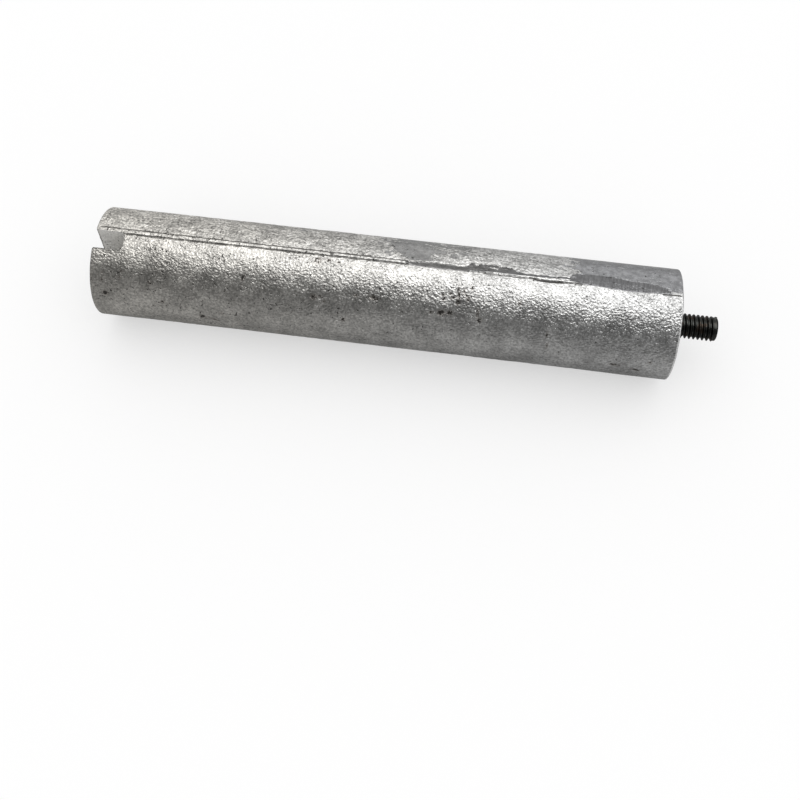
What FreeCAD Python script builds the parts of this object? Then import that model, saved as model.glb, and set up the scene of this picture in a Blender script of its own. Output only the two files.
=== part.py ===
import FreeCAD, Part
import math
import os

# A cast sacrificial anode: a round magnesium rod with a short steel stud cast into one end and a slot across
# the other. It lies along X with the stud towards +X. The mould's parting plane is upright, along XZ.
# All sizes are in millimetres, and the origin is the centre of the bounding box's underside.

# rod
rod_diameter = 26.0
rod_length = 134.0
end_edge_radius = 0.3

# flash ridge that the mould left along the top, from the slotted end
ridge_width = 1.0
ridge_height = 0.2
ridge_length = 72.0
ridge_run_out = 3.0
ridge_edge_radius = 0.12

# flat that was filed on the top at the stud's end: it deepens along its run-in, then keeps its full depth,
# and it leans to the back by some degrees
top_flat_run_in = 18.0
top_flat_length = 12.0
top_flat_depth = 0.07
top_flat_lean = 2.3

# flat where the flash was ground away all along the underside
rest_flat_width = 3.0

# driver slot across the end
slot_width = 4.25
slot_depth = 7.0
slot_floor_radius = 1.3
slot_edge_chamfer = 0.3

# steel stud: its anchor is the plain blank that the thread was rolled on
stud_diameter = 5.9
stud_stand_out = 10.15
stud_anchor_diameter = 5.3
stud_anchor_length = 25.0
stud_point_length = 1.0
stud_point_diameter = 4.5
# the groove in the rod's end round the stud's root
root_groove = 0.6

# extra length of a cutting or joining shape past the face that it goes through
overrun = 1.0
# how near two places are to count as the same
same = 0.001

# places that follow from the sizes
rod_radius = rod_diameter / 2
axis_height = math.sqrt(rod_radius**2 - (rest_flat_width / 2) ** 2)
slot_end = -(rod_length + stud_stand_out) / 2
stud_end = slot_end + rod_length
slot_centre = -(ridge_width + slot_width) / 2
x_axis = FreeCAD.Vector(1, 0, 0)
y_axis = FreeCAD.Vector(0, 1, 0)
z_axis = FreeCAD.Vector(0, 0, 1)


def point(x, y, z):
    """A point whose z is measured from the rod's centre line."""
    return FreeCAD.Vector(x, y, axis_height + z)


def side_profile(corners, width, middle):
    """A closed outline of (x, z) corners, made solid across Y about the given middle."""
    outline = Part.makePolygon([point(x, middle - width / 2, z) for x, z in corners + corners[:1]])
    return Part.Face(outline).extrude(y_axis * width)


def edges_at(solid, test):
    """The edges whose whole length passes the test."""
    found = []
    for edge in solid.Edges:
        if all(test(vertex.Point) for vertex in edge.Vertexes) and test(edge.CenterOfMass):
            found.append(edge)
    return found


def flash_ridge():
    """The raised strip along the top, with a run-out at its far end."""
    top = rod_radius + ridge_height
    root = rod_radius - overrun
    start = slot_end + end_edge_radius
    finish = slot_end + ridge_length
    corners = [
        (start, root),
        (start, rod_radius),
        (start + ridge_height, top),
        (finish - ridge_run_out, top),
        (finish, rod_radius),
        (finish, root),
    ]
    strip = side_profile(corners, ridge_width, 0)
    upper = edges_at(strip, lambda p: p.z > axis_height + top - same and abs(p.y) > ridge_width / 2 - same)
    return strip.makeFillet(ridge_edge_radius, upper)


def top_grinding():
    """What the file took off the top at the stud's end."""
    full = stud_end - top_flat_length
    start = full - top_flat_run_in
    finish = stud_end + overrun
    corners = [
        (start, rod_radius),
        (full, rod_radius - top_flat_depth),
        (finish, rod_radius - top_flat_depth),
        (finish, rod_radius + overrun),
        (start, rod_radius + overrun),
    ]
    return side_profile(corners, rod_diameter, 0).rotated(point(0, 0, 0), x_axis, -top_flat_lean)


def underside_grinding():
    """What was taken off along the underside, down to the flat that the rod rests on."""
    corners = [
        (slot_end - overrun, -axis_height),
        (stud_end + overrun, -axis_height),
        (stud_end + overrun, -rod_radius - overrun),
        (slot_end - overrun, -rod_radius - overrun),
    ]
    return side_profile(corners, rod_diameter, 0)


def driver_slot():
    """The slot's space, right through the rod from top to bottom: a flared mouth, straight walls and a floor
    with rounded corners."""
    near = slot_centre + slot_width / 2
    far = slot_centre - slot_width / 2
    floor = slot_end + slot_depth
    outside = slot_end - overrun
    flare = slot_edge_chamfer + overrun
    bottom = -rod_radius - overrun
    corners = [
        (outside, far - flare),
        (slot_end + slot_edge_chamfer, far),
        (floor, far),
        (floor, near),
        (slot_end + slot_edge_chamfer, near),
        (outside, near + flare),
    ]
    outline = Part.makePolygon([point(x, y, bottom) for x, y in corners + corners[:1]])
    space = Part.Face(outline).extrude(z_axis * (rod_diameter + ridge_height + 2 * overrun))
    floor_corners = edges_at(space, lambda p: p.x > floor - same and (p.y < far + same or p.y > near - same))
    return space.makeFillet(slot_floor_radius, floor_corners)


def revolved(corners):
    """A closed outline of (x, radius) corners, turned about the rod's centre line."""
    outline = Part.makePolygon([point(x, 0, radius) for x, radius in corners + corners[:1]])
    return Part.Face(outline).revolve(point(0, 0, 0), x_axis, 360)


def stud_bore():
    """The hole in the rod that the stud's anchor fills, with the groove at its mouth."""
    radius = stud_anchor_diameter / 2
    corners = [
        (stud_end - stud_anchor_length, 0),
        (stud_end - stud_anchor_length, radius),
        (stud_end - root_groove, radius),
        (stud_end + overrun, radius + root_groove + overrun),
        (stud_end + overrun, 0),
    ]
    return revolved(corners)


def anode_rod():
    """The cast magnesium body."""
    rod = Part.makeCylinder(rod_radius, rod_length, point(slot_end, 0, 0), x_axis)
    rims = [edge for edge in rod.Edges if isinstance(edge.Curve, Part.Circle)]
    rod = rod.makeFillet(end_edge_radius, rims)
    rod = rod.fuse(flash_ridge())
    rod = rod.cut(top_grinding()).cut(underside_grinding())
    return rod.cut(driver_slot()).cut(stud_bore())


def threaded_stud():
    """The steel stud at its thread's outer diameter, from the anchor in the rod to the pointed end."""
    anchor = stud_end - stud_anchor_length
    tip = stud_end + stud_stand_out
    corners = [
        (anchor, 0),
        (anchor, stud_anchor_diameter / 2),
        (stud_end, stud_anchor_diameter / 2),
        (stud_end, stud_diameter / 2),
        (tip - stud_point_length, stud_diameter / 2),
        (tip, stud_point_diameter / 2),
        (tip, 0),
    ]
    return revolved(corners)


def write(name, shape):
    """One closed solid to its file."""
    solid = shape.removeSplitter()
    if solid.ShapeType != "Solid":
        solid = solid.Solids[0]
    print(name, "valid" if solid.isValid() else "NOT VALID", round(solid.Volume, 1), "mm3")
    solid.exportStep("parts/" + name + ".step")


os.makedirs("parts", exist_ok=True)
write("anode_rod", anode_rod())
write("threaded_stud", threaded_stud())
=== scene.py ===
import bpy
import math
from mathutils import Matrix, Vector, noise


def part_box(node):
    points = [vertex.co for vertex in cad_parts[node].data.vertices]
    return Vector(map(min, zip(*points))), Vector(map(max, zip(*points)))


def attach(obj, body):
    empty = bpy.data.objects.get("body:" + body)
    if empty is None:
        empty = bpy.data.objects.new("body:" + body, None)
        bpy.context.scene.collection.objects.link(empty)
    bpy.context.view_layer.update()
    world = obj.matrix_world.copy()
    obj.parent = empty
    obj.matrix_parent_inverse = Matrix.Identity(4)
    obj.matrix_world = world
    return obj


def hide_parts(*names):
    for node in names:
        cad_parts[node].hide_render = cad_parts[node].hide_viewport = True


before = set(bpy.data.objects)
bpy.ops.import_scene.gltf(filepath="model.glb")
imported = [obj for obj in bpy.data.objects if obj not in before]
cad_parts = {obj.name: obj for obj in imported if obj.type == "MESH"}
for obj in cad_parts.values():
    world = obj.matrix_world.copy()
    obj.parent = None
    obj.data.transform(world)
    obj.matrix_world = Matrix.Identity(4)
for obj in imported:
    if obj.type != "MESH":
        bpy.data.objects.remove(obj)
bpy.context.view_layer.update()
rodLow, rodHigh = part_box("anode_rod")
studLow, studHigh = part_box("threaded_stud")
mm = 0.001
slotEnd = rodLow.x  # the slotted end of the rod
studFace = rodHigh.x  # the end that the stud stands out of
rodRadius = (rodHigh.y - rodLow.y) / 2
axisHeight = (studLow.z + studHigh.z) / 2
print("frame loaded:", ", ".join(sorted(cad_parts)))


# small helpers

def fade(value, low, high):
    # 0 below low, 1 above high and a soft step between
    t = min(max((value - low) / (high - low), 0), 1)
    return t * t * (3 - 2 * t)


def between(value, start, end, soft):
    # 1 from start to end, fading out over soft at both
    return fade(value, start - soft, start) * (1 - fade(value, end, end + soft))


def onLine(points, value):
    # straight runs through (place, height) points
    if value <= points[0][0]:
        return points[0][1]
    for (startAt, startHeight), (endAt, endHeight) in zip(points, points[1:]):
        if value <= endAt:
            return startHeight + (endHeight - startHeight) * (value - startAt) / (endAt - startAt)
    return points[-1][1]


def wander(seed, place):
    # a smooth value from about -1 to 1 that changes once per unit of place
    return noise.noise(Vector((place, seed * 7.3, seed * 3.1)))


def onRod(place):
    # mm from the slotted end, degrees from the top (towards the back is plus), mm from the centre line
    up = place.z - axisHeight
    angle = math.degrees(math.atan2(place.y, up))
    return (place.x - slotEnd) / mm, angle, math.hypot(place.y, up) / mm


def pick(piece, kind, wanted):
    # edit mode with only the wanted vertices, edges or faces selected
    bpy.context.view_layer.objects.active = piece
    bpy.ops.object.mode_set(mode="EDIT")
    bpy.ops.mesh.select_mode(type=kind)
    bpy.ops.mesh.select_all(action="DESELECT")
    bpy.ops.object.mode_set(mode="OBJECT")
    mesh = piece.data
    if kind == "VERT":
        for vertex in mesh.vertices:
            vertex.select = wanted(vertex.co)
    elif kind == "EDGE":
        for edge in mesh.edges:
            one, other = (mesh.vertices[i].co for i in edge.vertices)
            edge.select = wanted(one, other)
    else:
        for face in mesh.polygons:
            face.select = wanted(face.center, face.normal)
    bpy.ops.object.mode_set(mode="EDIT")


def objectMode():
    bpy.ops.object.mode_set(mode="OBJECT")


def alongRod(name, radius, startX, endX, sides):
    # a cylinder on the rod's centre line
    bpy.ops.object.select_all(action="DESELECT")
    middle = ((startX + endX) / 2, 0, axisHeight)
    bpy.ops.mesh.primitive_cylinder_add(
        vertices=sides, radius=radius, depth=endX - startX, location=middle, rotation=(0, math.pi / 2, 0)
    )
    piece = bpy.context.object
    piece.name = name
    bpy.ops.object.transform_apply(location=True, rotation=True, scale=True)
    return piece


def combine(piece, tool, how):
    # cuts, joins or keeps what is common, and takes the tool away
    bpy.context.view_layer.objects.active = piece
    step = piece.modifiers.new("combine", "BOOLEAN")
    step.operation = how
    step.solver = "EXACT"
    step.object = tool
    bpy.ops.object.modifier_apply(modifier=step.name)
    bpy.data.objects.remove(tool)


def weigh(piece, name, weightAt):
    # a vertex group with its weights worked out from each vertex's place on the rod
    group = piece.vertex_groups.new(name=name)
    for vertex in piece.data.vertices:
        weight = weightAt(*onRod(vertex.co))
        if weight > 0.001:
            group.add([vertex.index], min(weight, 1), "REPLACE")


def push(piece, group, height, texture=None, middle=0.0):
    # moves the group's vertices along their normals, by a texture if one is given
    bpy.context.view_layer.objects.active = piece
    step = piece.modifiers.new("push", "DISPLACE")
    step.vertex_group = group
    step.texture_coords = "LOCAL"
    step.texture = texture
    step.mid_level = middle
    step.strength = height
    bpy.ops.object.modifier_apply(modifier=step.name)


def bumps(name, kind, size, **settings):
    # a procedural relief for push
    relief = bpy.data.textures.new(name, kind)
    relief.noise_scale = size
    for key, value in settings.items():
        setattr(relief, key, value)
    return relief


# marks on the rod, all in mm from the slotted end and degrees from the top

castMarks = {
    "ridgeLine": [(0, -0.7), (12, -0.7), (40, -0.45), (60, -0.05), (72, 0)],
    "grooveSpacing": [  # from one groove to the other; the material paints their shade
        (0, 1.34), (10, 1.34), (25, 1.2), (40, 1.12), (55, 1.03), (68, 1.0), (71.5, 0.95), (74, 0.4),
    ],
    "ridgeHeight": 0.12,
    "ridgeStart": 0.2,
    "ridgeEnd": 73.5,
    "ridgeNicks": [(12.8, 0.7), (18.8, 0.7), (22.7, 0.7), (54.8, 1.0)],  # place and depth
    "creaseNear": 0.24,
    "creaseFar": 0.38,  # the ridge hides part of the groove behind it
    "creaseDepth": 0.12,
    "smearNear": [
        (71, -1.2), (73.4, -2.4), (75, -3.2), (84, -3.2), (87, -2.6), (88.5, -0.8),
        (91.5, 0.3), (97.5, 0.5), (99, 0.8), (104.9, 0.9), (107, 1.7), (110, 2.5),
    ],
    "smearFar": [
        (71, 1.6), (73.3, 1.5), (76.3, 2.4), (79.3, 3.2), (82.4, 2.8), (85.6, 3.2), (86.4, 9.4), (87.6, 7.0),
        (88.7, 9.0), (92.6, 9.3), (95.1, 8.0), (96.3, 6.0), (97.4, 3.2), (98.9, 2.3), (104.9, 2.5), (110, 4.6),
    ],
    "smearStart": 72.5,
    "smearEnd": 109.0,
    "smearDepth": 0.17,
    "smearGap": (91.7, 4.8),  # a crumb of cast skin left inside the smear
    "lipLine": [  # the crumbling rim behind the smear
        (71, 2.8), (73.3, 3.3), (74.8, 3.4), (76.4, 4.2), (78.8, 5.4),
        (80, 5.4), (81, 4.2), (85.4, 4.2), (86.2, 5.6),
    ],
    "lipStart": 72.0,
    "lipEnd": 84.5,
    "beadLine": [
        (86, -2.3), (89.2, -1.4), (91.5, -0.6), (97.5, -0.8), (99, -0.7),
        (103.4, -1.5), (107.9, -1.1), (109.4, -1.3), (112.5, -2.8),
    ],
    "beadWidth": 0.46,
    "beadHeight": 0.15,
    "beadStart": 86.5,
    "beadEnd": 110.0,
    "undercutLine": [
        (86, -3.6), (89, -2.8), (92.3, -2.5), (97.5, -2.8), (100.5, -2.5), (101.2, -3.1),
        (102, -3.8), (104.9, -3.8), (106.4, -3.2), (109.4, -2.6),
    ],
    "undercutWidth": 0.40,
    "undercutStart": 100.5,
    "undercutEnd": 107.0,
    "tipLine": [(128.5, -4.2), (131, -3.6), (133.5, -3.0)],  # a thin groove from the flat's point to the end
    "flatNear": [(108, -0.5), (111, -1.8), (118, -3.6), (122.2, -4.5), (126.4, -3.9), (131.2, -3.3)],
    "flatFar": [(108, 7), (112.3, 10.6), (117.3, 11.2), (123.2, 8.4), (127.7, 6.7), (129.8, 4), (131.3, -1.5)],
    "flatStart": 109.5,
    "flatEnd": 130.6,
    "flatDepth": 0.19,
    "flatCrown": 0.07,  # how far the filed plane lies under the round at its middle
    "flatLean": 2.3,
    "skinSpread": [  # how much of the skin is smooth, from none at -1.5 to nearly all at 1
        (0, -1.5), (40, -1.0), (62, -0.5), (74, -0.05), (83, -0.25),
        (90, -0.75), (105, -0.85), (113, 0.9), (134, 1.0),
    ],
    "skinPatch": (68.2, 77.0, 5.4, 31),  # a smooth patch behind the ridge's end
    "skinDepth": 0.09,
}


def acrossRidge(s, angle):
    # mm from the ridge's centre line, towards the back is plus
    return math.radians(angle - onLine(castMarks["ridgeLine"], s)) * rodRadius / mm


def ridgeRun(s):
    # how much of the ridge there is at s
    return fade(s, castMarks["ridgeStart"], 1.2) * (1 - fade(s, castMarks["ridgeEnd"] - 2, castMarks["ridgeEnd"]))


def nickAt(s):
    return max(depth * math.exp(-((s - place) / (0.5 * depth)) ** 2) for place, depth in castMarks["ridgeNicks"])


def ridgeAt(s, angle, out):
    if abs(angle) > 10 or out < 12:
        return 0
    half = onLine(castMarks["grooveSpacing"], s) / 2 - 0.12
    edge = 1 - fade(abs(acrossRidge(s, angle)), half - 0.1, half + 0.05)
    return edge * ridgeRun(s) * (0.85 + 0.15 * wander(2, s * 0.6)) * (1 - 0.7 * nickAt(s))


def creaseAt(s, angle, out):
    # the thin grooves along both sides of the ridge, its nicks, and the undercut of the bead, with shade painted in
    # them
    if abs(angle) > 14 or out < 12:
        return 0
    across = acrossRidge(s, angle)
    width = castMarks["creaseFar"] if across > 0 else castMarks["creaseNear"]
    width *= 1 + 0.45 * wander(3 if across > 0 else 13, s * 1.3)
    centre = onLine(castMarks["grooveSpacing"], s) / 2 + (width - castMarks["creaseNear"]) / 2
    crease = 1 - fade(abs(abs(across) - centre), width / 2 - 0.07, width / 2 + 0.07)
    crease *= min(0.94 + 0.25 * wander(23 if across > 0 else 33, s * 0.7), 0.9)
    if abs(across) < centre:
        crease = max(crease, nickAt(s))
    below = math.radians(angle - onLine(castMarks["undercutLine"], s)) * rodRadius / mm
    run = between(s, castMarks["undercutStart"], castMarks["undercutEnd"], 1.5)
    half = castMarks["undercutWidth"] / 2 * (0.6 + 0.4 * run)
    under = 1 - fade(abs(below), half - 0.05, half + 0.08)
    under *= between(s, 89, castMarks["undercutEnd"] + 4, 2) * max(run, min(0.8 + 0.6 * wander(43, s * 0.8), 0.9))
    aside = abs(math.radians(angle - onLine(castMarks["tipLine"], s)) * rodRadius / mm)
    tip = (1 - fade(aside, 0.08, 0.24)) * between(s, 129.5, 133.2, 0.6)
    return max(crease * ridgeRun(s), under, 0.9 * tip)


def smearAt(s, angle, out):
    # the flash pressed flat just after the ridge
    if abs(angle) > 14 or out < 12:
        return 0
    near = onLine(castMarks["smearNear"], s) + 0.2 * wander(4, s * 1.1)
    far = onLine(castMarks["smearFar"], s) + 0.9 * wander(14, s * 1.9)
    gapPlace, gapAngle = castMarks["smearGap"]
    gap = math.exp(-((s - gapPlace) / 0.8) ** 2 - ((angle - gapAngle) / 1.1) ** 2)
    run = between(s, castMarks["smearStart"], castMarks["smearEnd"], 1.5)
    # the far border is soft here, and ragged in the material, which also breaks up the weaker part at the back
    pressed = fade(angle, near - 0.5, near) * (1 - fade(angle, far - 1.6, far + 2.0)) * (1 - gap)
    return pressed * run * (1 - 0.28 * fade(angle, 2.6, 4.6))


def sunkAt(s, angle, out):
    # how deep the smear lies there, as a share of its depth: it leans to the back
    near, far = onLine(castMarks["smearNear"], s), onLine(castMarks["smearFar"], s)
    across = min(max((angle - near) / max(far - near, 1), 0), 1)
    return smearAt(s, angle, out) * (0.25 + 0.75 * across)


def beadAt(s, angle, out):
    # the thin raised bead in front of the smear's end and the rim behind its start
    if abs(angle) > 12 or out < 12:
        return 0
    away = math.radians(angle - onLine(castMarks["beadLine"], s)) * rodRadius / mm
    run = between(s, castMarks["beadStart"], castMarks["beadEnd"], 1.5)
    half = castMarks["beadWidth"] / 2 * (0.62 + 0.38 * fade(s, 95, 101))
    # its top slopes down to the front
    bead = (1 - fade(abs(away), half - 0.08, half + 0.08)) * run * (0.8 + 0.2 * max(min(away / half, 1), -1))
    above = math.radians(angle - onLine(castMarks["lipLine"], s)) * rodRadius / mm
    lip = (1 - fade(abs(above), 0.08, 0.26)) * between(s, castMarks["lipStart"], castMarks["lipEnd"], 1.0)
    return max(bead, lip * (0.75 + 0.4 * wander(61, s * 0.9)))


def flatAt(s, angle, out):
    # the filed flat, a blade shape that narrows to a point before the stud's end
    if abs(angle) > 20 or out < 12:
        return 0
    near = onLine(castMarks["flatNear"], s) + 0.4 * wander(5, s * 0.9)
    far = onLine(castMarks["flatFar"], s) + 0.8 * wander(6, s * 0.8)
    return between(angle, near, far, 0.6) * between(s, castMarks["flatStart"], castMarks["flatEnd"], 1.5)


def filedAt(s, angle, out):
    # how deep the flat lies there, as a share of its depth
    marked = flatAt(s, angle, out)
    if marked == 0:
        return 0
    radius, crown = rodRadius / mm, castMarks["flatCrown"] * fade(s, 106, 122)
    plane = radius - (radius - crown) / math.cos(math.radians(angle - castMarks["flatLean"]))
    depth = castMarks["flatDepth"] - castMarks["flatCrown"] + max(0, plane)
    return marked * (1 - 0.5 * fade(s, 122, 130)) * depth / castMarks["flatDepth"]


def skinAt(s, angle, out):
    # where the cast skin is smooth and dull instead of pebbled: behind the parting line, more so to the right
    if out < 12:
        return 0
    nearest = 3.5 - 5.5 * fade(s, 125, 130)
    behind = fade(angle, nearest, nearest + 5) * (1 - fade(angle + 12 * wander(9, s * 0.2), 62, 96))
    field = wander(8, s * 0.16 + angle * 0.012) + 0.6 * noise.noise(Vector((s * 0.42, angle * 0.13, 4.0)))
    field += 0.6 * noise.noise(Vector((s * 0.9, angle * 0.35, 9.0)))
    wanted = onLine(castMarks["skinSpread"], s) + min(max(0.015 * (angle - 18), -0.2), 0.15)
    start, end, low, high = castMarks["skinPatch"]
    # the patch reaches further to the slotted end at the back, and its border is uneven
    start += 0.27 * max(0, 21 - angle) + 0.7 * wander(51, angle * 0.25)
    end += 0.7 * wander(52, angle * 0.25)
    low += 0.8 * wander(53, s * 0.6)
    patch = between(s, start, end, 0.8) * between(angle, low, high, 1.5)
    return max(behind * fade(field + wanted, -0.12, 0.18), patch)


def rimAt(s, angle, out):
    # the rim of the stud's end, where handling has polished it
    return fade(s, 133.5, 133.7) * fade(out, 12.75, 12.83) * (1 - between(angle, 0, 60, 15))


def bottomRight(s, angle):
    # the casting is fuller there, so its relief is shallower
    return fade(s, 104, 126) * between(angle, -150, -75, 20)


def coarseAt(s, angle, out):
    # how strong the dimples and pebbles are: full on the cast skin, little on pressed, filed and end faces
    smooth = max(flatAt(s, angle, out), smearAt(s, angle, out), 0.8 * skinAt(s, angle, out))
    smooth = max(smooth, ridgeAt(s, angle, out))
    face = 1 if out > 12.7 else 0.3 * fade(out, 3.4, 4.4)
    resting = 0.25 if abs(angle) > 173 else 1
    return (1 - 0.85 * smooth) * face * resting * (1 - 0.65 * bottomRight(s, angle))


# pits and gouges: mm from the slotted end, degrees from the top, length, width and depth in mm, turn in degrees

pits = [
    (2.9, -47.0, 0.4, 0.7, 0.14, 0),
    (2.9, -54.0, 0.35, 1.0, 0.14, 10),
    (3.6, -69.4, 1.1, 0.9, 0.20, 20),
    (7.4, -43.0, 0.6, 0.5, 0.14, 20),
    (7.0, -50.0, 0.6, 0.5, 0.12, 0),
    (14.1, -52.1, 0.9, 0.5, 0.12, 30),
    (16.9, -72.5, 0.7, 0.6, 0.12, 0),
    (26.0, -88.0, 1.2, 0.8, 0.24, 15),
    (28.6, -91.5, 2.4, 0.4, 0.12, 25),
    (30.8, -79.0, 1.0, 0.4, 0.10, 30),
    (35.5, -36.0, 0.5, 1.2, 0.14, 20),
    (51.9, -47.1, 1.1, 0.9, 0.20, 10),
    (53.4, -45.6, 0.8, 0.4, 0.14, -10),
    (54.4, -50.5, 0.6, 0.5, 0.12, 0),
    (54.4, -7.8, 0.9, 0.4, 0.10, -20),
    (56.7, -8.8, 0.5, 0.4, 0.10, 0),
    (59.0, -68.6, 0.8, 0.8, 0.12, 0),
    (61.5, -40.6, 0.9, 0.5, 0.12, 0),
    (65.6, -41.4, 1.6, 0.7, 0.14, 10),
    (78.6, -49.0, 0.7, 0.5, 0.16, 0),
    (80.9, -48.4, 1.3, 1.0, 0.20, 0),
    (80.9, -29.8, 0.7, 0.5, 0.14, 30),
    (82.5, -28.3, 0.5, 0.5, 0.14, 0),
    (83.2, -31.6, 0.8, 0.5, 0.16, -20),
    (85.5, -24.6, 0.4, 0.9, 0.14, 10),
    (86.2, -28.7, 0.6, 0.5, 0.14, 30),
    (87.2, -20.0, 0.4, 0.9, 0.12, -8),
    (82.8, -47.6, 0.9, 0.9, 0.20, 0),
    (81.2, -34.5, 0.5, 0.8, 0.14, 30),
    (84.4, -27.0, 0.35, 2.4, 0.14, -8),
    (84.4, -35.5, 0.7, 1.2, 0.16, 10),
    (86.6, -32.0, 0.4, 1.0, 0.12, 30),
    (89.0, -45.0, 0.4, 2.2, 0.18, 0),
    (89.6, -51.5, 0.9, 0.9, 0.16, 0),
    (98.0, -30.0, 0.5, 0.8, 0.12, 0),
    (104.9, -58.7, 0.4, 1.2, 0.14, 5),
    (105.3, -71.6, 0.4, 1.2, 0.14, 0),
    (121.0, -88.3, 2.0, 0.6, 0.14, 12),
    (125.9, -93.3, 1.6, 0.6, 0.14, 20),
    (128.6, -78.4, 0.8, 0.5, 0.12, 0),
]
# a small ring in the skin under the ridge: mm from the slotted end, degrees, radius and half its line's width
pitRings = [(51.9, -9.2, 0.55, 0.16)]


def pitsNear(s, angle, out):
    # for each pit nearby: how many of its half sizes away its centre is, and its depth
    for place, turnedTo, length, width, depth, lean in pits:
        if abs(s - place) > 3 or abs(angle - turnedTo) > 14 or out < 12:
            continue
        dx = s - place
        dy = math.radians(angle - turnedTo) * rodRadius / mm
        turn = math.radians(lean)
        along = (dx * math.cos(turn) - dy * math.sin(turn)) / max(length / 2, 0.2)
        across = (dx * math.sin(turn) + dy * math.cos(turn)) / max(width / 2, 0.2)
        yield math.hypot(along, across), depth
    for place, turnedTo, radius, half in pitRings:
        if abs(s - place) < 2 and abs(angle - turnedTo) < 8 and out > 12:
            away = math.hypot(s - place, math.radians(angle - turnedTo) * rodRadius / mm)
            yield abs(away - radius) / half, 0.1


def pitAt(s, angle, out):
    # a wide cone over each pit, lower for a shallow one, from which the material cuts a ragged spot
    cones = [max(0, 1 - away / 2.2) * (0.6 + 0.4 * depth / deepestPit) for away, depth in pitsNear(s, angle, out)]
    return max(cones, default=0)


def hollowAt(s, angle, out):
    return max([math.exp(-away * away) * depth / deepestPit for away, depth in pitsNear(s, angle, out)], default=0)


deepestPit = max(pit[4] for pit in pits)


# the rod

rodShape = {
    "sides": 204,
    "topStrip": 12,  # degrees each side of the top with columns three times as fine
    "stripCuts": 2,
    "ringCuts": (17, 18),  # two passes, (17 + 1) * (18 + 1) rings
    "rimRadius": 0.3 * mm,
    "rimSteps": 3,
    "capRings": 11,
    "capRingWidth": 1.06 * mm,
    "slotWidth": 4.25 * mm,
    "slotDepth": 7.0 * mm,
    "slotMiddle": -2.625 * mm,
    "slotFloorRadius": 1.3 * mm,
    "slotFlare": 0.3 * mm,
    "boreRadius": 2.65 * mm,
    "boreDepth": 25.0 * mm,
    "rootGroove": 0.6 * mm,
    "past": 1.0 * mm,  # how far a cutting shape goes past the face
    "near": 0.01 * mm,
}


def rodBlank():
    rod = alongRod("anode_body", rodRadius, slotEnd, studFace, rodShape["sides"])
    near = rodShape["near"]

    def onStrip(one, other):
        sameEnd = abs(one.x - other.x) < near
        angles = [abs(onRod(place)[1]) for place in (one, other)]
        return sameEnd and max(angles) < rodShape["topStrip"]

    def onRim(one, other):
        return abs(one.x - other.x) < near

    pick(rod, "EDGE", onStrip)
    bpy.ops.mesh.subdivide(number_cuts=rodShape["stripCuts"])
    pick(rod, "EDGE", onRim)
    bpy.ops.mesh.bevel(offset=rodShape["rimRadius"], segments=rodShape["rimSteps"], profile=0.5, affect="EDGES")
    for cuts in rodShape["ringCuts"]:
        pick(rod, "EDGE", lambda one, other: abs(one.x - other.x) > 2 * rodShape["rimRadius"])
        bpy.ops.mesh.subdivide(number_cuts=cuts)
    pick(rod, "FACE", lambda centre, normal: abs(normal.x) > 0.99)
    ringRadius = rodRadius - rodShape["rimRadius"]
    for ring in range(rodShape["capRings"]):
        smaller = 1 - rodShape["capRingWidth"] / ringRadius
        bpy.ops.mesh.extrude_region_move(TRANSFORM_OT_translate={"value": (0, 0, 0)})
        bpy.ops.transform.resize(value=(1, smaller, smaller), center_override=(0, 0, axisHeight))
        ringRadius *= smaller
    # the underside is pressed to the flat that the rod rests on
    pick(rod, "VERT", lambda place: place.z < 0)
    bpy.ops.transform.resize(value=(1, 1, 0), center_override=(0, 0, 0))
    objectMode()
    return rod


def slotTool():
    width, depth = rodShape["slotWidth"], rodShape["slotDepth"]
    flare = rodShape["slotFlare"]
    bpy.ops.object.select_all(action="DESELECT")
    middle = (slotEnd + (depth + flare) / 2, rodShape["slotMiddle"], axisHeight)
    bpy.ops.mesh.primitive_cube_add(size=1, location=middle, scale=(depth - flare, width, 4 * rodRadius))
    tool = bpy.context.object
    bpy.ops.object.transform_apply(location=True, rotation=True, scale=True)
    floor = slotEnd + depth
    pick(tool, "EDGE", lambda one, other: min(one.x, other.x) > floor - rodShape["near"] and one.y == other.y)
    bpy.ops.mesh.bevel(offset=rodShape["slotFloorRadius"], segments=6, affect="EDGES")
    pick(tool, "FACE", lambda centre, normal: normal.x < -0.9)
    out = flare + rodShape["past"]
    bpy.ops.mesh.extrude_region_move(TRANSFORM_OT_translate={"value": (-out, 0, 0)})
    mouth = (slotEnd, rodShape["slotMiddle"], axisHeight)
    bpy.ops.transform.resize(value=(1, (width + 2 * out) / width, 1), center_override=mouth)
    objectMode()
    return tool


def boreTool():
    radius, groove = rodShape["boreRadius"], rodShape["rootGroove"]
    tool = alongRod("bore", radius, studFace - rodShape["boreDepth"], studFace - groove, 64)
    pick(tool, "FACE", lambda centre, normal: normal.x > 0.9)
    out = groove + rodShape["past"]
    bpy.ops.mesh.extrude_region_move(TRANSFORM_OT_translate={"value": (out, 0, 0)})
    wider = (radius + out) / radius
    bpy.ops.transform.resize(value=(1, wider, wider), center_override=(studFace, 0, axisHeight))
    objectMode()
    return tool


rodRelief = {
    "swell": (9.0 * mm, 0.10 * mm),  # size and height
    "dimples": (2.4 * mm, 0.10 * mm),
    "pebbles": (1.0 * mm, 0.12 * mm),
}

rod = rodBlank()
print("rod blank:", len(rod.data.polygons), "faces")
combine(rod, slotTool(), "DIFFERENCE")
combine(rod, boreTool(), "DIFFERENCE")
bpy.ops.object.select_all(action="DESELECT")
rod.select_set(True)
bpy.context.view_layer.objects.active = rod
bpy.ops.object.shade_smooth_by_angle(angle=math.radians(40))
print("slot and bore cut:", len(rod.data.polygons), "faces")

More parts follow.
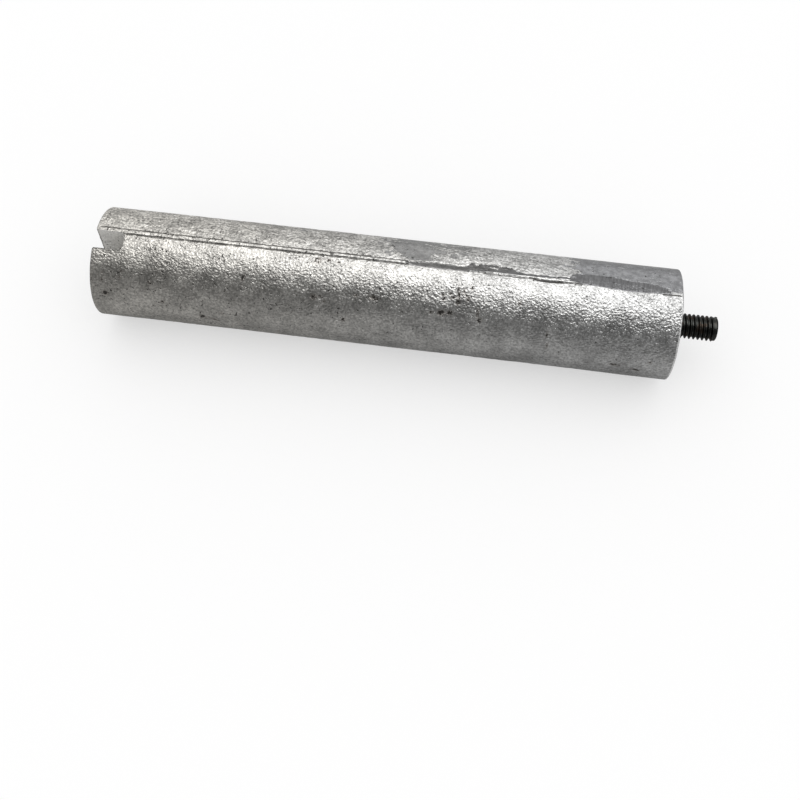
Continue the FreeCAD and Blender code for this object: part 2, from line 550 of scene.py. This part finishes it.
marks = {
    "ridge": ridgeAt, "crease": creaseAt, "smear": smearAt, "bead": beadAt,
    "flat": flatAt, "pit": pitAt, "skin": skinAt, "rim": rimAt,
}
for markName, weightAt in marks.items():
    weigh(rod, markName, weightAt)
weigh(rod, "filed", filedAt)
weigh(rod, "sunk", sunkAt)
weigh(rod, "hollow", hollowAt)
weigh(rod, "all", lambda s, angle, out: 1 - 0.65 * bottomRight(s, angle) if out > 3.4 else 0)
weigh(rod, "grain", coarseAt)
print("marks placed")


def keepMark(piece, name):
    # the group's weights again as an attribute that the material can read
    index = piece.vertex_groups[name].index
    values = [0.0] * len(piece.data.vertices)
    for vertex in piece.data.vertices:
        for part in vertex.groups:
            if part.group == index:
                values[vertex.index] = part.weight
    attribute = piece.data.attributes.new(name=name + "Mark", type="FLOAT", domain="POINT")
    attribute.data.foreach_set("value", values)


for markName in marks:
    keepMark(rod, markName)


def inSlot(centre):
    # on the slot's walls or floor, or in the bore
    s, angle, out = onRod(centre)
    sideways = abs(centre.y - rodShape["slotMiddle"]) / mm
    slotFace = 0.05 < s < 7.1 and sideways < rodShape["slotWidth"] / 2 / mm + 0.35 and out < 12.9
    return slotFace or (out < 3.3 and s > 100)


# the walls that were cut, marked face by face so that the mark doesn't run over their edges
cutFaces = rod.data.attributes.new(name="cutMark", type="FLOAT", domain="FACE")
cutFaces.data.foreach_set("value", [1.0 if inSlot(face.center) else 0.0 for face in rod.data.polygons])

push(rod, "ridge", castMarks["ridgeHeight"] * mm)
push(rod, "crease", -castMarks["creaseDepth"] * mm)
push(rod, "bead", castMarks["beadHeight"] * mm)
push(rod, "filed", -castMarks["flatDepth"] * mm)
push(rod, "sunk", -castMarks["smearDepth"] * mm)
push(rod, "skin", -castMarks["skinDepth"] * mm)
push(rod, "hollow", -deepestPit * mm)
size, height = rodRelief["swell"]
push(rod, "all", height, bumps("swell", "CLOUDS", size), 1.0)
size, height = rodRelief["dimples"]
push(rod, "grain", height, bumps("dimples", "CLOUDS", size, noise_depth=2), 1.0)
size, height = rodRelief["pebbles"]
push(rod, "grain", height, bumps("pebbles", "CLOUDS", size, noise_depth=1, noise_basis="VORONOI_F1"), 1.25)
print("relief pushed in")


# the stud

studShape = {
    "pitch": 1.0 * mm,
    "crestRadius": 2.90 * mm,
    "rootRadius": 2.34 * mm,
    "crestWidth": 0.14 * mm,
    "rootWidth": 0.22 * mm,
    "steps": 72,
    "noseLength": 1.0 * mm,
    "noseRadius": 2.72 * mm,
    "noseRound": 0.34 * mm,
    "endRound": 0.36 * mm,
    "anchorRadius": 2.64 * mm,
    "startTurn": -90,
    "startShift": -0.3 * mm,
    "runIn": 0.4 * mm,  # how far the thread starts inside the rod's end
}


def threadCoil():
    # one pitch of the thread's outline, wound up along the stud
    pitch = studShape["pitch"]
    crest, root = studShape["crestRadius"], studShape["rootRadius"]
    flank = (pitch - studShape["crestWidth"] - studShape["rootWidth"]) / 2
    startX = studFace - 2 * pitch + studShape["startShift"]
    bpy.ops.object.select_all(action="DESELECT")
    bpy.ops.mesh.primitive_plane_add(size=pitch, location=(0, 0, 0))
    coil = bpy.context.object
    coil.name = "thread_coil"
    # the plane is reduced to one edge, which is then drawn out into the outline
    pick(coil, "VERT", lambda place: place.x > 0 or place.y > 0)
    bpy.ops.mesh.delete(type="VERT")
    objectMode()
    corner = coil.data.vertices[0].co.copy()
    pick(coil, "VERT", lambda place: True)
    bpy.ops.transform.translate(value=Vector((startX, 0, root)) - corner)
    stretches = (
        (studShape["rootWidth"] / 2, 0), (flank, crest - root), (studShape["crestWidth"], 0),
        (flank, root - crest), (studShape["rootWidth"] / 2, 0),
    )
    for forward, outward in stretches:
        bpy.ops.mesh.extrude_region_move(TRANSFORM_OT_translate={"value": (forward, 0, outward)})
    objectMode()
    turns = math.ceil((studHigh.x - startX) / pitch)
    wind = coil.modifiers.new("wind", "SCREW")
    wind.axis = "X"
    wind.angle = math.radians(360)
    wind.screw_offset = pitch
    wind.iterations = turns
    wind.steps = wind.render_steps = studShape["steps"]
    wind.use_merge_vertices = True
    wind.merge_threshold = 0.01 * mm
    bpy.ops.object.modifier_apply(modifier=wind.name)
    pick(coil, "VERT", lambda place: True)
    turned = math.radians(studShape["startTurn"])
    bpy.ops.transform.rotate(value=turned, orient_axis="X", center_override=(0, 0, 0))
    bpy.ops.transform.translate(value=(0, 0, axisHeight))
    # both ends are cut square and closed
    for cutX, side in ((studFace - studShape["runIn"], -1), (studHigh.x - 0.3 * studShape["noseLength"], 1)):
        bpy.ops.mesh.select_all(action="SELECT")
        bpy.ops.mesh.bisect(plane_co=(cutX, 0, 0), plane_no=(side, 0, 0), use_fill=True, clear_outer=True)
    bpy.ops.mesh.select_all(action="SELECT")
    bpy.ops.mesh.normals_make_consistent(inside=False)
    objectMode()
    return coil


def roundedBar(name, radius, startX, endX, roundness):
    # a bar with its far rim rounded
    bar = alongRod(name, radius, startX, endX, studShape["steps"])
    pick(bar, "EDGE", lambda one, other: min(one.x, other.x) > endX - rodShape["near"])
    bpy.ops.mesh.bevel(offset=roundness, segments=6, affect="EDGES")
    objectMode()
    return bar


coil = threadCoil()
print("thread wound:", len(coil.data.polygons), "faces")
envelope = roundedBar("envelope", studHigh.z - axisHeight, studFace - 2 * mm, studHigh.x, studShape["endRound"])
combine(coil, envelope, "INTERSECT")
nose = roundedBar("nose", studShape["noseRadius"], studHigh.x - studShape["noseLength"], studHigh.x, studShape["noseRound"])
combine(coil, nose, "UNION")
anchor = alongRod("anchor", studShape["anchorRadius"], studLow.x, studFace - 0.2 * mm, 48)
combine(coil, anchor, "UNION")
coil.name = "stud_body"
bpy.ops.object.select_all(action="DESELECT")
coil.select_set(True)
bpy.context.view_layer.objects.active = coil
bpy.ops.object.shade_smooth_by_angle(angle=math.radians(25))
print("stud finished:", len(coil.data.polygons), "faces")


# materials

def addNode(tree, kind, **settings):
    node = tree.nodes.new(kind)
    for key, value in settings.items():
        setattr(node, key, value)
    return node


def feed(tree, source, target):
    # a link from a socket, or a plain value set on the target
    if hasattr(source, "is_output"):
        tree.links.new(source, target)
    else:
        target.default_value = source


def math2(tree, operation, one, other=0.0, clamp=False):
    node = addNode(tree, "ShaderNodeMath", operation=operation, use_clamp=clamp)
    feed(tree, one, node.inputs[0])
    feed(tree, other, node.inputs[1])
    return node.outputs[0]


def mixValue(tree, factor, one, other):
    node = addNode(tree, "ShaderNodeMix", data_type="FLOAT")
    feed(tree, factor, node.inputs[0])
    feed(tree, one, node.inputs[2])
    feed(tree, other, node.inputs[3])
    return node.outputs[0]


def mixColour(tree, factor, one, other, blend="MIX"):
    node = addNode(tree, "ShaderNodeMix", data_type="RGBA", blend_type=blend)
    feed(tree, factor, node.inputs[0])
    feed(tree, one, node.inputs[6])
    feed(tree, other, node.inputs[7])
    return node.outputs[2]


def step(tree, value, low, high, start=0.0, end=1.0):
    # value from low to high becomes start to end, softly
    node = addNode(tree, "ShaderNodeMapRange", interpolation_type="SMOOTHSTEP")
    for socket, given in zip(node.inputs, (value, low, high, start, end)):
        feed(tree, given, socket)
    return node.outputs[0]


def noiseAt(tree, vector, size, detail=2.0, rough=0.5, distortion=0.0):
    node = addNode(tree, "ShaderNodeTexNoise")
    feed(tree, vector, node.inputs["Vector"])
    node.inputs["Scale"].default_value = 1 / size
    node.inputs["Detail"].default_value = detail
    node.inputs["Roughness"].default_value = rough
    node.inputs["Distortion"].default_value = distortion
    return node


def stretched(tree, vector, scale, turn=(0, 0, 0)):
    node = addNode(tree, "ShaderNodeMapping")
    feed(tree, vector, node.inputs["Vector"])
    node.inputs["Scale"].default_value = scale
    node.inputs["Rotation"].default_value = turn
    return node.outputs[0]


def patchyTone():
    # shared by both metals: broad patches, and fine dark specks where the patches are low
    group = bpy.data.node_groups.new("patchyTone", "ShaderNodeTree")
    group.interface.new_socket("Vector", in_out="INPUT", socket_type="NodeSocketVector")
    for name, value in (("Patch Size", 8 * mm), ("Speck Size", 0.5 * mm), ("Speck Amount", 0.5)):
        socket = group.interface.new_socket(name, in_out="INPUT", socket_type="NodeSocketFloat")
        socket.default_value = value
    for name in ("Patches", "Specks"):
        group.interface.new_socket(name, in_out="OUTPUT", socket_type="NodeSocketFloat")
    given = addNode(group, "NodeGroupInput")
    result = addNode(group, "NodeGroupOutput")
    broad = addNode(group, "ShaderNodeTexNoise")
    feed(group, given.outputs["Vector"], broad.inputs["Vector"])
    feed(group, math2(group, "DIVIDE", 1.0, given.outputs["Patch Size"]), broad.inputs["Scale"])
    broad.inputs["Detail"].default_value = 3.0
    fine = addNode(group, "ShaderNodeTexNoise")
    feed(group, given.outputs["Vector"], fine.inputs["Vector"])
    feed(group, math2(group, "DIVIDE", 1.0, given.outputs["Speck Size"]), fine.inputs["Scale"])
    fine.inputs["Detail"].default_value = 1.0
    threshold = mixValue(group, given.outputs["Speck Amount"], 0.78, 0.60)
    threshold = math2(group, "ADD", threshold, math2(group, "MULTIPLY", broad.outputs[0], 0.12))
    above = math2(group, "SUBTRACT", fine.outputs[0], threshold)
    feed(group, broad.outputs[0], result.inputs["Patches"])
    feed(group, step(group, above, 0.0, 0.05), result.inputs["Specks"])
    return group


toneGroup = patchyTone()

def addGrey(tree, value):
    node = addNode(tree, "ShaderNodeCombineColor")
    for socket in node.inputs:
        feed(tree, value, socket)
    return node.outputs[0]


def mark(tree, name):
    node = addNode(tree, "ShaderNodeAttribute", attribute_type="GEOMETRY", attribute_name=name + "Mark")
    return node.outputs["Fac"]


castSkin = {
    "warm": (0.63, 0.61, 0.57, 1),  # at the slotted end
    "cool": (0.62, 0.62, 0.615, 1),  # at the stud's end
    "ground": (0.348, 0.346, 0.342, 1),  # smooth, pressed or filed metal
    "groundRight": (0.344, 0.347, 0.358, 1),  # the same near the stud's end
    "pale": (0.92, 0.92, 0.90, 1),  # painted highlight on the top of the bead
    "cut": (0.66, 0.65, 0.625, 1),
    # near black: for specks, pits, the filed flat and the smear, and for the painted shade in the crevices and
    # grooves
    "dark": (0.055, 0.052, 0.048, 1),
    "stain": (0.33, 0.285, 0.25, 1),
    "pebbleSize": 0.54 * mm,
    "strokeSize": 0.38 * mm,
    "grainHeight": 0.29 * mm,
    "creviceShade": (0.30, 0.42, 0.22),  # how dark the painted shade in the pebbles' crevices is: in front, at the back, there to the right
    "roughness": (0.38, 0.29),  # at the slotted end and at the stud's end
    "backRoughness": 0.10,
    "groundRoughness": 0.24,
    "specks": (1.0, 0.75),
    "speckDark": 0.85,
    "mottle": (0.24, 0.38),  # in front of the ridge and behind it
    "cloud": 0.20,
    "backStreaks": (0.74, 1.36),  # the shades of the streaks along the back
    "creaseShade": (0.74, 0.96),  # painted shade in the grooves: along the ridge, and darkest in the deepest undercut
    "filedDark": (0.46, 0.54),  # on the flat and on the smear
    "fileMarks": 0.13,
    "calm": 0.80,  # how much of the grain is gone on filed and cut faces
}


def castGrain(tree, place):
    # pebbles, slanting strokes between them and a fine tooth over all
    bend = noiseAt(tree, place, 0.8 * mm, 2.0)
    bentBy = addNode(tree, "ShaderNodeVectorMath", operation="MULTIPLY_ADD")
    feed(tree, bend.outputs[1], bentBy.inputs[0])
    bentBy.inputs[1].default_value = (0.5 * mm,) * 3
    feed(tree, place, bentBy.inputs[2])
    pebbles = addNode(tree, "ShaderNodeTexVoronoi", feature="SMOOTH_F1")
    pebbles.inputs["Smoothness"].default_value = 0.25
    feed(tree, bentBy.outputs[0], pebbles.inputs["Vector"])
    pebbles.inputs["Scale"].default_value = 1 / castSkin["pebbleSize"]
    dome = math2(tree, "SUBTRACT", 1.0, pebbles.outputs["Distance"])
    slanted = stretched(tree, place, (0.6, 1.0, 1.0), (0, 0, math.radians(38)))
    strokes = noiseAt(tree, slanted, castSkin["strokeSize"], 3.0, 0.6).outputs[0]
    fine = noiseAt(tree, place, 0.22 * mm, 2.0, 0.6).outputs[0]
    grain = mixValue(tree, 0.5, dome, strokes)
    return mixValue(tree, 0.18, grain, fine)


def castMetal():
    material = bpy.data.materials.new("castMagnesium")
    material.use_nodes = True
    tree = material.node_tree
    shader = tree.nodes["Principled BSDF"]
    place = addNode(tree, "ShaderNodeTexCoord").outputs["Object"]
    parts = addNode(tree, "ShaderNodeSeparateXYZ")
    feed(tree, place, parts.inputs[0])
    rightward = step(tree, parts.outputs[0], slotEnd, studFace)
    behind = step(tree, parts.outputs[1], 0.5 * mm, 2.5 * mm)
    tone = addNode(tree, "ShaderNodeGroup", node_tree=toneGroup)
    feed(tree, place, tone.inputs["Vector"])
    tone.inputs["Patch Size"].default_value = 5 * mm
    tone.inputs["Speck Size"].default_value = 0.64 * mm
    feed(tree, mixValue(tree, rightward, *castSkin["specks"]), tone.inputs["Speck Amount"])
    crease, pit, cut = mark(tree, "crease"), mark(tree, "pit"), mark(tree, "cut")
    flat, smear = mark(tree, "flat"), mark(tree, "smear")

    # where the skin is pressed, filed or smooth, with ragged borders
    jagged = noiseAt(tree, place, 0.65 * mm, 4.0, 0.6).outputs[0]
    jaggedBy = math2(tree, "SUBTRACT", jagged, 0.5)
    streaks = noiseAt(tree, stretched(tree, place, (0.3, 1, 1)), 0.7 * mm, 4.0, 0.65).outputs[0]
    streaksBy = math2(tree, "MULTIPLY", math2(tree, "SUBTRACT", streaks, 0.5), 2.6)
    pressed = math2(tree, "MAXIMUM", flat, smear)
    torn = math2(tree, "ADD", 1.2, math2(tree, "MULTIPLY", smear, 0.9))
    pressed = math2(tree, "ADD", pressed, math2(tree, "MULTIPLY", jaggedBy, torn))
    pressed = step(tree, pressed, 0.42, 0.60)
    skinned = step(tree, math2(tree, "ADD", mark(tree, "skin"), streaksBy), 0.35, 0.75, 0.0, 0.92)
    ground = math2(tree, "MAXIMUM", pressed, skinned)
    ground = math2(tree, "SUBTRACT", ground, step(tree, mark(tree, "bead"), 0.25, 0.6), True)
    cast = math2(tree, "SUBTRACT", 1.0, ground, True)
    grain = castGrain(tree, place)
    swell = noiseAt(tree, place, 3.0 * mm, 3.0, 0.6).outputs[0]

    # colour
    colour = mixColour(tree, rightward, castSkin["warm"], castSkin["cool"])
    shade = step(tree, tone.outputs["Patches"], 0.25, 0.75, 1 - castSkin["cloud"], 1 + castSkin["cloud"])
    colour = mixColour(tree, 1.0, colour, addGrey(tree, shade), "MULTIPLY")
    mottled = noiseAt(tree, place, 0.55 * mm, 4.0, 0.7).outputs[0]
    mottle = mixValue(tree, behind, *castSkin["mottle"])
    shade = math2(tree, "ADD", 1.0, math2(tree, "MULTIPLY", step(tree, mottled, 0.3, 0.7, -1.0, 1.0), mottle))
    colour = mixColour(tree, 1.0, colour, addGrey(tree, shade), "MULTIPLY")
    # painted shade: the crevices between the pebbles are darkened in the colour, where the relief would fall into
    # shade
    creviceShade = math2(tree, "MULTIPLY", step(tree, grain, 0.40, 0.54, 1.0, 0.0), cast)
    creviceShade = math2(tree, "MULTIPLY", creviceShade, math2(tree, "SUBTRACT", 1.0, mark(tree, "bead")))
    streaky = step(tree, streaks, 0.36, 0.64, *castSkin["backStreaks"])
    colour = mixColour(tree, behind, colour, addGrey(tree, streaky), "MULTIPLY")
    nearStud = step(tree, parts.outputs[0], slotEnd + 84 * mm, slotEnd + 108 * mm)
    inFront, atBack, backRight = castSkin["creviceShade"]
    atBack = mixValue(tree, nearStud, atBack, backRight)
    creviceShade = math2(tree, "MULTIPLY", creviceShade, mixValue(tree, behind, inFront, atBack))
    colour = mixColour(tree, creviceShade, colour, castSkin["dark"])
    cloudy = step(tree, noiseAt(tree, place, 1.2 * mm, 4.0, 0.7).outputs[0], 0.3, 0.7, 0.72, 1.28)
    groundTone = mixColour(tree, nearStud, castSkin["ground"], castSkin["groundRight"])
    smeared = step(tree, smear, 0.15, 0.55, *castSkin["filedDark"])
    filedTone = mixColour(tree, smeared, groundTone, castSkin["dark"])
    groundTone = mixColour(tree, 1.0, groundTone, addGrey(tree, cloudy), "MULTIPLY")
    filing = stretched(tree, place, (1, 0.06, 1), (0, 0, math.radians(6)))
    filing = noiseAt(tree, filing, 0.34 * mm, 2.0).outputs[0]
    fileMarks = step(tree, filing, 0.35, 0.7, 1 - castSkin["fileMarks"], 1 + 2 * castSkin["fileMarks"])
    fileMarks = mixValue(tree, flat, cloudy, fileMarks)
    filedTone = mixColour(tree, 1.0, filedTone, addGrey(tree, fileMarks), "MULTIPLY")
    groundTone = mixColour(tree, pressed, groundTone, filedTone)
    colour = mixColour(tree, ground, colour, groundTone)
    cutShade = addGrey(tree, step(tree, mottled, 0.3, 0.7, 0.78, 1.14))
    colour = mixColour(tree, cut, colour, mixColour(tree, 1.0, castSkin["cut"], cutShade, "MULTIPLY"))
    speckled = math2(tree, "MULTIPLY", tone.outputs["Specks"], mixValue(tree, cut, castSkin["speckDark"], 0.6))
    colour = mixColour(tree, speckled, colour, castSkin["dark"])
    # painted highlight: the bead's top is mixed towards near white in the colour
    colour = mixColour(tree, step(tree, mark(tree, "bead"), 0.3, 0.8, 0.0, 0.75), colour, castSkin["pale"])
    colour = mixColour(tree, step(tree, pit, 0.02, 0.5, 0.0, 0.4), colour, castSkin["stain"])
    torn = math2(tree, "SUBTRACT", noiseAt(tree, place, 0.42 * mm, 3.0, 0.6).outputs[0], 0.5)
    hollow = math2(tree, "ADD", pit, math2(tree, "MULTIPLY", torn, 1.7))
    hollow = step(tree, hollow, 0.40, 0.58, 0.0, 0.88)
    colour = mixColour(tree, hollow, colour, castSkin["dark"])
    # painted shade: the grooves along the ridge, its nicks, the undercut of the bead and the groove at the flat's
    # point are darkened in the colour
    line = math2(tree, "ADD", crease, math2(tree, "MULTIPLY", jaggedBy, 0.3))
    line = step(tree, line, 0.35, 0.85)
    creaseShade = step(tree, crease, 0.91, 0.98, *castSkin["creaseShade"])
    colour = mixColour(tree, math2(tree, "MULTIPLY", line, creaseShade), colour, castSkin["dark"])
    feed(tree, colour, shader.inputs["Base Color"])

    rough = mixValue(tree, rightward, *castSkin["roughness"])
    rough = math2(tree, "ADD", rough, math2(tree, "MULTIPLY", behind, castSkin["backRoughness"]))
    rough = mixValue(tree, ground, rough, castSkin["groundRoughness"])
    uneven = math2(tree, "MULTIPLY", math2(tree, "SUBTRACT", tone.outputs["Patches"], 0.5), 0.12)
    rough = math2(tree, "ADD", rough, uneven)
    rough = mixValue(tree, cut, rough, 0.5)
    feed(tree, mixValue(tree, line, rough, 0.6), shader.inputs["Roughness"])
    polished = step(tree, mark(tree, "rim"), 0.6, 0.95)
    metallic = math2(tree, "SUBTRACT", mixValue(tree, cut, 1.0, 0.35), math2(tree, "MULTIPLY", polished, 0.6), True)
    feed(tree, metallic, shader.inputs["Metallic"])

    # relief: the grain, file marks across the flat, specks and pits
    calm = math2(tree, "MULTIPLY", math2(tree, "MAXIMUM", ground, cut), castSkin["calm"])
    calm = math2(tree, "MAXIMUM", calm, math2(tree, "MULTIPLY", mark(tree, "ridge"), 0.4))
    uneven = step(tree, swell, 0.3, 0.7, 0.75, 1.25)
    uneven = math2(tree, "MULTIPLY", uneven, mixValue(tree, rightward, 0.85, 1.0))
    relief = math2(tree, "MULTIPLY", grain, math2(tree, "MULTIPLY", uneven, math2(tree, "SUBTRACT", 1.0, calm)))
    relief = math2(tree, "ADD", relief, math2(tree, "MULTIPLY", math2(tree, "MULTIPLY", filing, flat), 0.4))
    relief = math2(tree, "SUBTRACT", relief, math2(tree, "MULTIPLY", speckled, 0.4))
    relief = math2(tree, "SUBTRACT", relief, math2(tree, "MULTIPLY", hollow, 0.7))
    bump = addNode(tree, "ShaderNodeBump")
    bump.inputs["Strength"].default_value = 1.0
    bump.inputs["Distance"].default_value = castSkin["grainHeight"]
    feed(tree, relief, bump.inputs["Height"])
    feed(tree, bump.outputs[0], shader.inputs["Normal"])
    return material


darkSteel = {
    "skin": (0.052, 0.054, 0.051, 1),
    "worn": (0.18, 0.175, 0.16, 1),
    "rust": (0.09, 0.060, 0.042, 1),
    "roughness": 0.34,
}


def steelMetal():
    material = bpy.data.materials.new("darkSteel")
    material.use_nodes = True
    tree = material.node_tree
    shader = tree.nodes["Principled BSDF"]
    place = addNode(tree, "ShaderNodeTexCoord").outputs["Object"]
    tone = addNode(tree, "ShaderNodeGroup", node_tree=toneGroup)
    feed(tree, place, tone.inputs["Vector"])
    tone.inputs["Patch Size"].default_value = 2.2 * mm
    tone.inputs["Speck Size"].default_value = 0.4 * mm
    tone.inputs["Speck Amount"].default_value = 0.4
    rusty = step(tree, tone.outputs["Patches"], 0.50, 0.66, 0.0, 0.6)
    colour = mixColour(tree, rusty, darkSteel["skin"], darkSteel["rust"])
    scuffed = step(tree, noiseAt(tree, place, 0.5 * mm, 3.0).outputs[0], 0.56, 0.72, 0.0, 0.5)
    colour = mixColour(tree, scuffed, colour, darkSteel["worn"])
    feed(tree, colour, shader.inputs["Base Color"])
    rough = step(tree, tone.outputs["Patches"], 0.3, 0.7, darkSteel["roughness"] - 0.08, darkSteel["roughness"] + 0.1)
    feed(tree, rough, shader.inputs["Roughness"])
    shader.inputs["Metallic"].default_value = 1.0
    bump = addNode(tree, "ShaderNodeBump")
    bump.inputs["Strength"].default_value = 0.6
    bump.inputs["Distance"].default_value = 0.04 * mm
    feed(tree, noiseAt(tree, place, 0.3 * mm, 3.0).outputs[0], bump.inputs["Height"])
    feed(tree, bump.outputs[0], shader.inputs["Normal"])
    return material


def finishPiece(piece, material, node):
    piece.data.materials.clear()
    piece.data.materials.append(material)
    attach(piece, "root")
    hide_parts(node)


finishPiece(rod, castMetal(), "anode_rod")
finishPiece(coil, steelMetal(), "threaded_stud")
print("materials set")


# stage

stageSetup = {
    "floorSize": 6.0,
    "floorGlow": 0.45,
    "floorGrey": 0.56,
    "mirroredGlow": (0.17, 0.22),  # what the metal mirrors of the floor, in front of the rod and behind it
    "mirroredShade": 0.5,  # how much of it is left close to the rod
    "mirroredGrey": 0.24,
    "lightSize": (1.10, 0.61),
    "lightHeight": 0.8,
    "lightPlace": (0.14, 0.125),
    "lightTurn": -20,  # degrees
    "lightPower": 4.65,
    "domeLight": 1.05,  # the soft light from all round that the floor gets
    "roomFront": 0.145,
    "roomBack": 0.80,
    "roomAbove": 0.60,
}


def floorMaterial():
    # a floor lit softly from below as well, so that the shadow round the part stays pale
    material = bpy.data.materials.new("paleFloor")
    material.use_nodes = True
    tree = material.node_tree
    tree.nodes.clear()
    output = addNode(tree, "ShaderNodeOutputMaterial")
    ray = addNode(tree, "ShaderNodeLightPath")
    parts = addNode(tree, "ShaderNodeSeparateXYZ")
    feed(tree, addNode(tree, "ShaderNodeTexCoord").outputs["Object"], parts.inputs[0])

    def lit(glowBy, grey):
        both = addNode(tree, "ShaderNodeAddShader")
        glow = addNode(tree, "ShaderNodeEmission")
        feed(tree, glowBy, glow.inputs["Strength"])
        matt = addNode(tree, "ShaderNodeBsdfDiffuse")
        matt.inputs["Color"].default_value = (grey, grey, grey, 1)
        feed(tree, glow.outputs[0], both.inputs[0])
        feed(tree, matt.outputs[0], both.inputs[1])
        return both.outputs[0]

    mirrored = step(tree, parts.outputs[1], 0.0, 0.04, *stageSetup["mirroredGlow"])
    away = math2(tree, "ABSOLUTE", parts.outputs[1])
    mirrored = math2(tree, "MULTIPLY", mirrored, step(tree, away, 0.012, 0.022, stageSetup["mirroredShade"], 1.0))
    either = addNode(tree, "ShaderNodeMixShader")
    feed(tree, ray.outputs["Is Glossy Ray"], either.inputs[0])
    feed(tree, lit(stageSetup["floorGlow"], stageSetup["floorGrey"]), either.inputs[1])
    feed(tree, lit(mirrored, stageSetup["mirroredGrey"]), either.inputs[2])
    feed(tree, either.outputs[0], output.inputs["Surface"])
    return material


def room():
    # white behind all that the camera sees, even light for the floor, and a dim room for the metal to mirror
    world = bpy.data.worlds.new("studio")
    bpy.context.scene.world = world
    world.use_nodes = True
    tree = world.node_tree
    background = tree.nodes["Background"]
    direction = addNode(tree, "ShaderNodeTexCoord").outputs["Generated"]
    parts = addNode(tree, "ShaderNodeSeparateXYZ")
    feed(tree, direction, parts.inputs[0])
    dim = step(tree, parts.outputs[1], -0.45, 0.45, stageSetup["roomFront"], stageSetup["roomBack"])
    above = math2(tree, "MULTIPLY", step(tree, parts.outputs[2], 0.35, 0.8), step(tree, parts.outputs[1], -0.1, 0.2))
    dim = mixValue(tree, above, dim, stageSetup["roomAbove"])
    ray = addNode(tree, "ShaderNodeLightPath")
    strength = mixValue(tree, ray.outputs["Is Diffuse Ray"], dim, stageSetup["domeLight"])
    feed(tree, mixValue(tree, ray.outputs["Is Camera Ray"], strength, 1.0), background.inputs["Strength"])
    background.inputs["Color"].default_value = (1, 1, 1, 1)


bpy.ops.object.select_all(action="DESELECT")
bpy.ops.mesh.primitive_plane_add(size=stageSetup["floorSize"], location=(0, 0, 0))
floor = bpy.context.object
floor.name = "pale_floor"
floor.data.materials.append(floorMaterial())
room()
overhead = (*stageSetup["lightPlace"], stageSetup["lightHeight"])
turned = (0, 0, math.radians(stageSetup["lightTurn"]))
bpy.ops.object.light_add(type="AREA", location=overhead, rotation=turned)
softbox = bpy.context.object
softbox.data.shape = "RECTANGLE"
softbox.data.size, softbox.data.size_y = stageSetup["lightSize"]
softbox.data.energy = stageSetup["lightPower"]
# the softbox lights the part alone, so that it throws no hard shadow on the floor
lit = bpy.data.collections.new("lit_by_softbox")
lit.objects.link(rod)
lit.objects.link(coil)
softbox.light_linking.receiver_collection = lit
print("stage set")


# camera

cameraSetup = {
    "place": (15.111 * mm, -139.869 * mm, 222.664 * mm),
    "turn": (31.928, -0.457, 7.507),
    "lens": 48.20,
    "shift": -0.0875,
}
bpy.ops.object.camera_add(location=cameraSetup["place"], rotation=[math.radians(a) for a in cameraSetup["turn"]])
camera = bpy.context.object
camera.data.lens = cameraSetup["lens"]
camera.data.shift_y = cameraSetup["shift"]
camera.data.clip_start = 0.01
bpy.context.scene.camera = camera
bpy.context.scene.view_settings.view_transform = "Standard"
